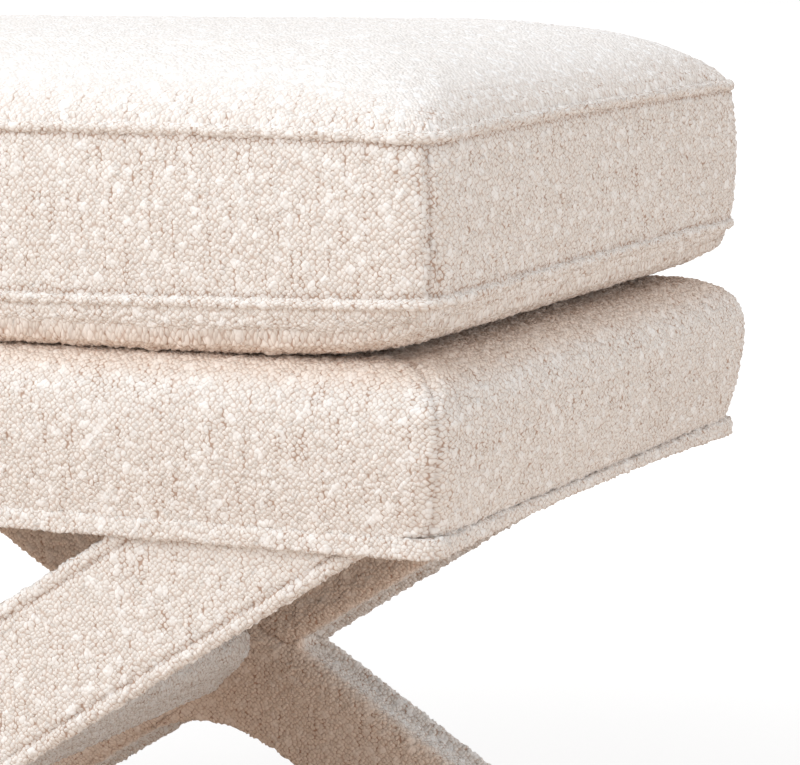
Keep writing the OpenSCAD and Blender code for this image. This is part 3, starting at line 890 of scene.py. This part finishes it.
class STOOL_OT_welts(bpy.types.Operator):
    """Make the self-welts in the cushion's seams"""

    bl_idname = "stool.welts"
    bl_label = "Welts"

    def execute(self, context):
        for end, top in (("top", True), ("bottom", False)):
            ring = seam_ring(top, WELT_SINK)
            far = lengths_along(np.concatenate([ring, ring[:1]]))[-1]
            count = int(far / context.scene.stool_boucle.mesh_step)
            bpy.ops.mesh.primitive_circle_add(vertices=count)
            piece = bpy.context.object
            piece.name = piece.data.name = f"{end}_welt"
            set_points(piece, spaced(ring, count))
            only(piece)
            bpy.ops.object.convert(target="CURVE")
            piece.data.bevel_depth = WELT_R - 0.2 * MM
            piece.data.bevel_resolution = 4
            bpy.ops.object.convert(target="MESH")
            self.lay(piece, count, far, top)
            dress(piece, "cushion", f"cushion_{end}_welt")
        return {"FINISHED"}

    def lay(self, piece, count, far, top):
        """Cloth coordinates of a welt: along it and round it, in its rings' own order."""
        vertex = face_values(piece)[0].reshape(-1, 4)
        sides = len(piece.data.vertices) // count
        ring, place = vertex // sides, vertex % sides
        for numbers, total in ((ring, count), (place, sides)):
            wraps = np.ptp(numbers, axis=1) > 1
            numbers[wraps] += np.where(numbers[wraps] == 0, total, 0)
        around = place.ravel() * 2 * math.pi * WELT_R / sides
        lay_cloth(piece, ring.ravel() * far / count + far * top, around)


class STOOL_OT_zip(bpy.types.Operator):
    """Make the zip's coil teeth and its slider"""

    bl_idname = "stool.zip"
    bl_label = "Zip"

    def execute(self, context):
        self.teeth()
        self.slider()
        return {"FINISHED"}

    def teeth(self):
        """Two rows of coil turns along the tape, one turned tooth repeated."""
        low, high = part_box("zip_tape")
        pitch, wide = 1.6 * MM, 2.4 * MM
        count = int((high.x - low.x - 12 * MM) / pitch)
        middle = (low.z + high.z) / 2
        start = -(count - 1) * pitch / 2
        place = (start, high.y + 0.2 * MM, middle + wide / 2 - 0.3 * MM)
        tooth = block("zip_teeth", (0.9 * MM, 1.2 * MM, wide), place)
        round_edges(tooth, lambda edge: not runs_along(edge, 1), 0.3 * MM, 1)
        only(tooth)
        bpy.ops.object.duplicate()
        other = bpy.context.object
        other.data.transform(Matrix.Translation((pitch / 2, 0, -wide + 0.6 * MM)))
        tooth = fuse([tooth, other], "zip_teeth")
        modify(
            tooth, "ARRAY", count=count, use_relative_offset=False, use_constant_offset=True,
            constant_offset_displace=(pitch, 0, 0)
        )
        paint(tooth, soft_material("zip_coil", (0.78, 0.73, 0.67), (0.70, 0.65, 0.59), 1800.0, 0.05 * MM))
        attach(tooth, "cushion")

    def slider(self):
        """Slider body with its bridge, and a pull tab with a rounded end and a slot."""
        low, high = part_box("zip_slider")
        centre, size = (low + high) / 2, high - low
        body = block("slider_body", (size.x, size.y * 0.7, size.z), centre)
        with editing(body):
            pick(body, lambda face: face.normal.x > 0.9, "faces")
            bpy.ops.transform.resize(value=(1, 1, 0.62))
        round_edges(body, lambda edge: not runs_along(edge, 0), 0.35 * MM, 2)
        place = centre + Vector((0, size.y * 0.35, 0))
        bridge = block("slider_bridge", (size.x * 0.6, size.y * 0.8, size.z * 0.22), place)
        round_edges(bridge, lambda edge: True, 0.25 * MM, 2)
        long, wide = 18 * MM, 4.6 * MM
        place = centre + Vector((0, size.y * 0.62, 2 * MM - long / 2))
        tab = block("slider_tab", (wide, 1.0 * MM, long), place)
        round_edges(tab, lambda edge: runs_along(edge, 1), 1.6 * MM, 4)
        hollow(tab, 1, 1.2 * MM)
        piece = fuse([body, bridge, tab], "zip_slider_and_pull")
        paint(piece, steel_material())
        only(piece)
        bpy.ops.object.shade_smooth_by_angle(angle=math.radians(35))
        settle(piece, "zip_slider", "steel", "zip_slider")


# Seat box

SEAT_W, SEAT_D = HEM_HIGH.x - 1 * MM, HEM_HIGH.y - 1 * MM
SIDE_SWELL = BOX_HIGH.x - SEAT_W
SHOULDER_W = 25 * MM
SHOULDER_H = 25 * MM
BOX_CORNER = 10 * MM


def box_profile(samples):
    """Inset and height of the seat box's side, from the stitch line over the shoulder to the flat top."""
    swell_z = BOX_HIGH.z - SHOULDER_H
    u = np.linspace(0, 1, samples)
    side = np.stack([-SIDE_SWELL * np.sin(u * math.pi / 2), BOX_LOW.z + (swell_z - BOX_LOW.z) * u], 1)
    turn = u[1:] * math.pi / 2
    far = SHOULDER_W - SIDE_SWELL - SHOULDER_W * np.cos(turn)
    shoulder = np.stack([far, swell_z + SHOULDER_H * np.sin(turn)], 1)
    return np.concatenate([side, shoulder])


def box_ring(inset, z):
    """A ring of the seat box."""
    radius = max(3 * MM, BOX_CORNER + 0.8 * max(0, inset + SIDE_SWELL))
    flat = plan(SEAT_W - inset, SEAT_D - inset, radius)
    return np.column_stack([flat, np.full(len(flat), z)])


def lay_box(piece):
    """Cloth coordinates of the seat box: along each side, and up it and over the shoulder."""
    vertex, c, _ = face_values(piece)
    p = points_of(piece)
    lengthways = SEAT_D - np.abs(c[:, 1]) < SEAT_W - np.abs(c[:, 0])
    profile = box_profile(80)
    across, along = np.zeros(len(c)), np.zeros(len(c))
    for chosen, main, other, half, shift in ((lengthways, 0, 1, SEAT_D, 6), (~lengthways, 1, 0, SEAT_W, 8)):
        sign = np.sign(c[chosen, other])
        across[chosen] = p[vertex[chosen], main] * -sign + (shift + sign) * PANEL_SHIFT
        along[chosen] = measure(profile, half - np.abs(p[:, other]), p[:, 2])[vertex[chosen]]
    # Painted shade in the seat box's corner seams
    lay_cloth(piece, across, along, BOX_SEAM_SHADE * corner_seam(p, SEAT_W, SEAT_D)[vertex])
    shade_cloth(piece, CONTACT_SHADE * smooth_step(p[:, 2], BOX_HIGH.z - 15 * MM, BOX_HIGH.z - 1 * MM))


class STOOL_OT_seat_box(bpy.types.Operator):
    """Make the seat box's padded cover, with its corner seams"""

    bl_idname = "stool.seat_box"
    bl_label = "Seat box"

    def execute(self, context):
        profile = box_profile(12)
        inner = [(e, BOX_HIGH.z) for e in np.geomspace(profile[-1][0], 0.15, 10)[1:]]
        hidden = [(9 * MM, HEM_LOW.z + 12 * MM), (1 * MM, HEM_LOW.z + 4 * MM)]
        piece = stack("seat_box_cover", [box_ring(e, z) for e, z in [*hidden, *profile, *inner]])
        remesh(piece, 1, context.scene.stool_cushion.sim_step)
        p, n = subdivide(piece)
        p -= n * (BOX_GROOVE * corner_seam(p, SEAT_W, SEAT_D))[:, None]
        set_points(piece, p)
        lay_box(piece)
        dress(piece, "frame", "seat_cover")
        return {"FINISHED"}


class STOOL_OT_hem(bpy.types.Operator):
    """Make the stitched hem flange along the seat box's lower edge"""

    bl_idname = "stool.hem"
    bl_label = "Hem"

    def execute(self, context):
        height = HEM_HIGH.z - HEM_LOW.z
        size = (2 * HEM_HIGH.x, 2 * HEM_HIGH.y, height)
        piece = block("seat_hem_flange", size, (0, 0, HEM_LOW.z + height / 2))
        round_edges(piece, lambda edge: runs_along(edge, 2), BOX_CORNER, 5)
        hollow(piece, 2, HEM_W)
        remesh(piece, 4)
        p = points_of(piece)
        side = smooth_step(np.abs(p[:, 0]), SEAT_W - 12 * MM, SEAT_W - 6 * MM)
        low = smooth_step(p[:, 2], HEM_HIGH.z, HEM_LOW.z)
        p[:, 2] += HEM_LIFT * side * (1 - (p[:, 1] / SEAT_D) ** 2) * low
        set_points(piece, p)
        vertex, c, n = face_values(piece)
        q = p[vertex]
        lengthways = np.abs(n[:, 1]) > np.abs(n[:, 0])
        beside = SEAT_D - np.abs(c[:, 1]) < SEAT_W - np.abs(c[:, 0])
        flat = np.where(beside, q[:, 0], q[:, 1])
        up = q[:, 2] + np.where(beside, q[:, 1], q[:, 0]) * (np.abs(n[:, 2]) > 0.7)
        lay_cloth(piece, flat + (10 + lengthways) * PANEL_SHIFT, up)
        dress(piece, "frame", "seat_hem")
        return {"FINISHED"}


# Legs and stretcher


def leg_bar(slope, low, high):
    """One front leg's cover between two heights: its body and its stitched flange plate, not yet fused."""
    body = block("body", (BAR_LENGTH, LEG_T, LEG_W))
    round_edges(body, lambda edge: runs_along(edge, 0) and edge.verts[0].co.y > 0, LEG_EDGE_R, 5)
    size = (BAR_LENGTH, FLANGE_T, LEG_W + 2 * FLANGE_OUT)
    plate = block("plate", size, (0, (FLANGE_T - LEG_T) / 2, 0))
    round_edges(plate, lambda edge: runs_along(edge, 0), PLATE_EDGE_R, 3)
    for part in (body, plate):
        part.data.transform(Matrix.Rotation(-slope * LEG_ANGLE, 4, "Y"))
        part.data.transform(Matrix.Translation(CROSSING))
        cut(part, (0, 0, low), (0, 0, -1))
        cut(part, (0, 0, high), (0, 0, 1))
    return body, plate


def leg_frame(points, slope):
    """Place along and across a front leg."""
    x, z = points[:, 0], points[:, 2] - CROSS_Z
    cos, sin = math.cos(LEG_ANGLE), math.sin(LEG_ANGLE) * slope
    return x * cos + z * sin, z * cos - x * sin


def cut_at_leg(part, side, reach):
    """Cuts a crossing bar, above (1) or below (-1) the long leg, where it is reach from that leg's middle."""
    way = Vector((-math.sin(LEG_ANGLE), 0, math.cos(LEG_ANGLE))) * side
    cut(part, CROSSING + way * reach, -way)


def notch_filler(way, angle, radius):
    """The fabric that bridges a notch between the crossing legs: its bisector, its opening and its radius."""
    apex = CROSSING + Vector(way) * LEG_W / 2 / math.sin(angle / 2)
    centre = apex + Vector(way) * radius / math.sin(angle / 2)
    reach = (math.pi - angle) / 2
    start = math.atan2(-way[2], -way[0])
    turns = np.linspace(start - reach, start + reach, 17)
    arc = [(centre.x + radius * math.cos(t), centre.z + radius * math.sin(t)) for t in turns]
    back = [apex.x - way[0] * 6 * MM, apex.z - way[2] * 6 * MM]
    x, z = np.array([*arc, back]).T
    bpy.ops.mesh.primitive_circle_add(vertices=len(x), fill_type="NGON")
    piece = bpy.context.object
    depth = LEG_T - FLANGE_T - 2 * MM
    set_points(piece, np.column_stack([x, np.full(len(x), LEG_FRONT.y + FLANGE_T), z]))
    with editing(piece, "SELECT"):
        bpy.ops.mesh.extrude_region_move(TRANSFORM_OT_translate={"value": (0, depth, 0)})
        bpy.ops.mesh.select_all(action="SELECT")
        bpy.ops.mesh.normals_make_consistent(inside=False)
    return piece


def finish_leg(parts, slope, side, cover):
    """Fuses one leg's cover, presses its stitch lines in, and lays its fabric."""
    piece = fuse(parts, f"{side}_{cover}_leg_cover")
    rear = side == "rear"
    remesh(piece, 3)
    p = points_of(piece)
    along, across = leg_frame(p, slope)
    face = smooth_step(p[:, 1], LEG_FRONT.y + FLANGE_T, LEG_FRONT.y + FLANGE_T / 2)
    beside = LEG_W / 2 + FLANGE_OUT - np.abs(across)
    # The stitch lines are pressed in, and their share also darkens the fabric as painted shade
    seam = groove(beside - STITCH_INSET, STITCH_W) * face
    puffed = groove(beside - STITCH_INSET / 2, 2 * STITCH_W) * face
    p[:, 1] += STITCH_DEPTH * seam - PUFF_H * puffed
    set_points(piece, p)
    vertex, _, n = face_values(piece)
    tilt = leg_frame(n + np.array([0, 0, CROSS_Z]), slope)[1]
    flat = np.abs(n[:, 1]) > np.abs(tilt)
    u = np.where(flat, p[vertex, 0], along[vertex])
    v = np.where(flat, p[vertex, 2], p[vertex, 1])
    lay_cloth(piece, u + (12 + slope + 4 * rear) * PANEL_SHIFT, v + flat * 0.5, seam[vertex])
    shade_cloth(piece, LEG_SHADE * smooth_step(p[:, 1], -LEG_Y, LEG_BACK.y - 2 * MM))
    if rear:
        piece.data.transform(Matrix.Rotation(math.pi, 4, "Z"))
    dress(piece, "frame", f"{side}_{cover}_cover")


class STOOL_OT_legs(bpy.types.Operator):
    """Make the covers of the two crossed-leg frames"""

    bl_idname = "stool.legs"
    bl_label = "Leg covers"

    def execute(self, context):
        foot, top = LEG_FRONT.z, LEG_BACK.z
        wide, narrow = math.pi - 2 * LEG_ANGLE, 2 * LEG_ANGLE
        for side in ("front", "rear"):
            parts = [*leg_bar(1, foot, top)]
            parts += [notch_filler((0, 0, way), wide, WIDE_NOTCH_R) for way in (-1, 1)]
            parts += [notch_filler((way, 0, 0), narrow, NARROW_NOTCH_R) for way in (-1, 1)]
            finish_leg(parts, 1, side, "long")
            for end, low, high, way in (("lower", foot, CROSS_Z, -1), ("upper", CROSS_Z, top, 1)):
                body, plate = leg_bar(-1, low, high)
                cut_at_leg(body, way, LEG_W / 2 - 0.5 * MM)
                cut_at_leg(plate, way, LEG_W / 2 + FLANGE_OUT - 0.8 * MM)
                finish_leg([body, plate], -1, side, end)
        return {"FINISHED"}


class STOOL_OT_stretcher(bpy.types.Operator):
    """Make the stretcher's cover"""

    bl_idname = "stool.stretcher"
    bl_label = "Stretcher cover"

    def execute(self, context):
        low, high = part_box("stretcher_cover")
        piece = block("stretcher_boucle", (STRETCHER_SIDE, high.y - low.y, STRETCHER_SIDE))
        round_edges(piece, lambda edge: runs_along(edge, 1), STRETCHER_EDGE_R, 8)
        remesh(piece, 2)
        vertex, _, n = face_values(piece)
        p = points_of(piece)[vertex]
        up = np.abs(n[:, 2]) > np.abs(n[:, 0])
        end = np.abs(n[:, 1]) > 0.8
        across = np.where(up, p[:, 0], p[:, 2])
        lay_cloth(piece, across + (20 + up) * PANEL_SHIFT, np.where(end, p[:, 2], p[:, 1]))
        piece.data.transform(Matrix.Rotation(math.radians(45), 4, "Y"))
        piece.data.transform(Matrix.Translation((0, 0, CROSS_Z)))
        dress(piece, "frame", "stretcher_cover")
        return {"FINISHED"}


# Frame's own pieces


class STOOL_OT_finishes(bpy.types.Operator):
    """Give the frame's own pieces their finishes"""

    bl_idname = "stool.finishes"
    bl_label = "Frame finishes"

    def execute(self, context):
        materials = {
            "boucle": boucle_material(),
            "steel": steel_material(),
            "pine": wood_material("planed_pine", (0.62, 0.42, 0.22), 60.0),
            "plywood": wood_material("birch_plywood", (0.60, 0.43, 0.26), 90.0),
        }
        for slot, *look in (
            ("zip_cloth", "zip_twill", (0.80, 0.75, 0.69), (0.70, 0.65, 0.59), 1500.0, 0.2 * MM),
            ("dust_cloth", "black_cambric", (0.020, 0.020, 0.022), (0.010, 0.010, 0.011), 900.0, 0.2 * MM),
            ("wadding", "fibre_wadding", (0.90, 0.90, 0.89), (0.78, 0.78, 0.77), 160.0, 1.5 * MM),
            ("foam", "upholstery_foam", (0.84, 0.76, 0.46), (0.70, 0.60, 0.33), 900.0, 0.4 * MM),
            ("black_plastic", "black_nylon", (0.02, 0.02, 0.02), (0.03, 0.03, 0.03), 1200.0, 0.1 * MM),
        ):
            materials[slot] = soft_material(*look)
        slots = {row["node"]: row["material_slot"] for row in frame["record"]["subparts"]}
        for name, part in frame["nodes"].items():
            paint(part, materials[slots[name]])
        return {"FINISHED"}


# Stage

AIM = Vector((0, 0, 0.3))


def area_light(name, place, size, power, colour):
    """A square soft lamp that faces the stool's middle."""
    data = bpy.data.lights.new(name, "AREA")
    data.size = size
    data.energy = power
    data.color = colour
    lamp = added(name, data)
    lamp.location = place
    lamp.rotation_euler = (Vector(place) - AIM).to_track_quat("Z", "Y").to_euler()


def show(tree, output, lighting, seen):
    """Lights with one shader, and shows another to the camera, in a gloss and through glass."""
    camera = node(tree, "ShaderNodeLightPath", {}, "Is Camera Ray")
    glossy, through = camera.beside("Is Glossy Ray"), camera.beside("Is Transmission Ray")
    share = camera.math("MAXIMUM", camera, camera.math("MAXIMUM", glossy, through))
    shown = node(tree, "ShaderNodeMixShader", {0: share, 1: lighting, 2: seen})
    fill(tree, tree.nodes[output].inputs, {"Surface": shown})


class STOOL_OT_studio(bpy.types.Operator):
    """Set the floor, the lamps and the camera"""

    bl_idname = "stool.studio"
    bl_label = "Studio"

    def execute(self, context):
        scene = context.scene
        self.floor()
        self.world(scene)
        area_light("key_lamp", (-1.55, -2.45, 2.2), 2.2, 66.5, (0.955, 0.985, 1.0))
        area_light("top_lamp", (-0.5, -0.2, 2.6), 2.4, 18, (0.985, 0.985, 1.0))
        area_light("side_lamp", (2.7, -0.6, 0.65), 1.3, 13.2, (0.96, 0.985, 1.0))
        self.camera(scene)
        scene.view_settings.view_transform = "Standard"
        return {"FINISHED"}

    def floor(self):
        """A pale floor that the camera sees as white, apart from the stool's shadow."""
        bpy.ops.mesh.primitive_plane_add(size=24)
        floor = bpy.context.object
        floor.name = "floor"
        material, tree, shader = new_material("floor_white")
        bounce = (0.74, 0.62, 0.53, 1)
        fill(tree, shader.inputs, {"Base Color": bounce, "Roughness": 1.0, "Specular IOR Level": 0.0})
        far = node(tree, "ShaderNodeVectorMath", {0: place_on(tree)}, "Value", operation="LENGTH")
        # A little under white near the stool, where its shadow lies
        lifted = node(tree, "ShaderNodeEmission", {"Strength": ramp(tree, far, 0.5, 1.6, 0.72, 1.0)})
        lit = node(tree, "ShaderNodeBsdfDiffuse", {"Color": (0.3, 0.3, 0.3, 1)})
        bright = node(tree, "ShaderNodeAddShader", {0: lifted, 1: lit})
        show(tree, "Material Output", Sock(tree, shader.outputs[0]), bright)
        paint(floor, material)

    def world(self, scene):
        """Even light from all round, and white where the camera sees past the floor."""
        world = bpy.data.worlds.new("studio")
        scene.world = world
        world.use_nodes = True
        tree = world.node_tree
        light = node(tree, "ShaderNodeBackground", {"Color": (1.0, 0.98, 0.965, 1), "Strength": 0.63})
        white = node(tree, "ShaderNodeBackground", {"Color": (1, 1, 1, 1), "Strength": 1.0})
        show(tree, "World Output", light, white)

    def camera(self, scene):
        """The photograph's camera."""
        settings = scene.stool_studio
        data = bpy.data.cameras.new("camera")
        data.lens = settings.lens
        data.sensor_width = 36
        data.clip_end = 50
        camera = added("camera", data)
        place = Matrix.Translation(settings.target)
        turns = ((settings.azimuth, "Z"), (math.pi / 2 - settings.elevation, "X"), (settings.roll, "Z"))
        for turn, axis in turns:
            place = place @ Matrix.Rotation(turn, 4, axis)
        camera.matrix_world = place @ Matrix.Translation((0, 0, settings.distance))
        scene.camera = camera


class STOOL_PT_panel(bpy.types.Panel):
    """The stool's pieces and settings"""

    bl_label = "Upholstered stool"
    bl_idname = "STOOL_PT_panel"
    bl_space_type = "VIEW_3D"
    bl_region_type = "UI"
    bl_category = "Stool"

    def draw(self, context):
        layout = self.layout
        for group, settings in SETTINGS:
            box = layout.box()
            for name in settings.__annotations__:
                box.prop(getattr(context.scene, group), name)
        for operator in OPERATORS:
            layout.operator(operator.bl_idname)


OPERATORS = (
    STOOL_OT_finishes,
    STOOL_OT_cushion,
    STOOL_OT_welts,
    STOOL_OT_zip,
    STOOL_OT_seat_box,
    STOOL_OT_hem,
    STOOL_OT_legs,
    STOOL_OT_stretcher,
    STOOL_OT_studio,
)
SETTINGS = (
    ("stool_boucle", BoucleSettings),
    ("stool_cushion", CushionSettings),
    ("stool_studio", StudioSettings),
)


def register():
    """Makes the settings, operators and panel known."""
    for name, group in SETTINGS:
        bpy.utils.register_class(group)
        setattr(bpy.types.Scene, name, PointerProperty(type=group))
    for operator in OPERATORS:
        bpy.utils.register_class(operator)
    bpy.utils.register_class(STOOL_PT_panel)


def unregister():
    """Undoes register."""
    bpy.utils.unregister_class(STOOL_PT_panel)
    for operator in reversed(OPERATORS):
        bpy.utils.unregister_class(operator)
    for name, group in reversed(SETTINGS):
        delattr(bpy.types.Scene, name)
        bpy.utils.unregister_class(group)


def main():
    """Makes every piece and the stage."""
    register()
    for operator in OPERATORS:
        group, name = operator.bl_idname.split(".")
        getattr(getattr(bpy.ops, group), name)()
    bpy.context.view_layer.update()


if __name__ == "__main__":
    main()
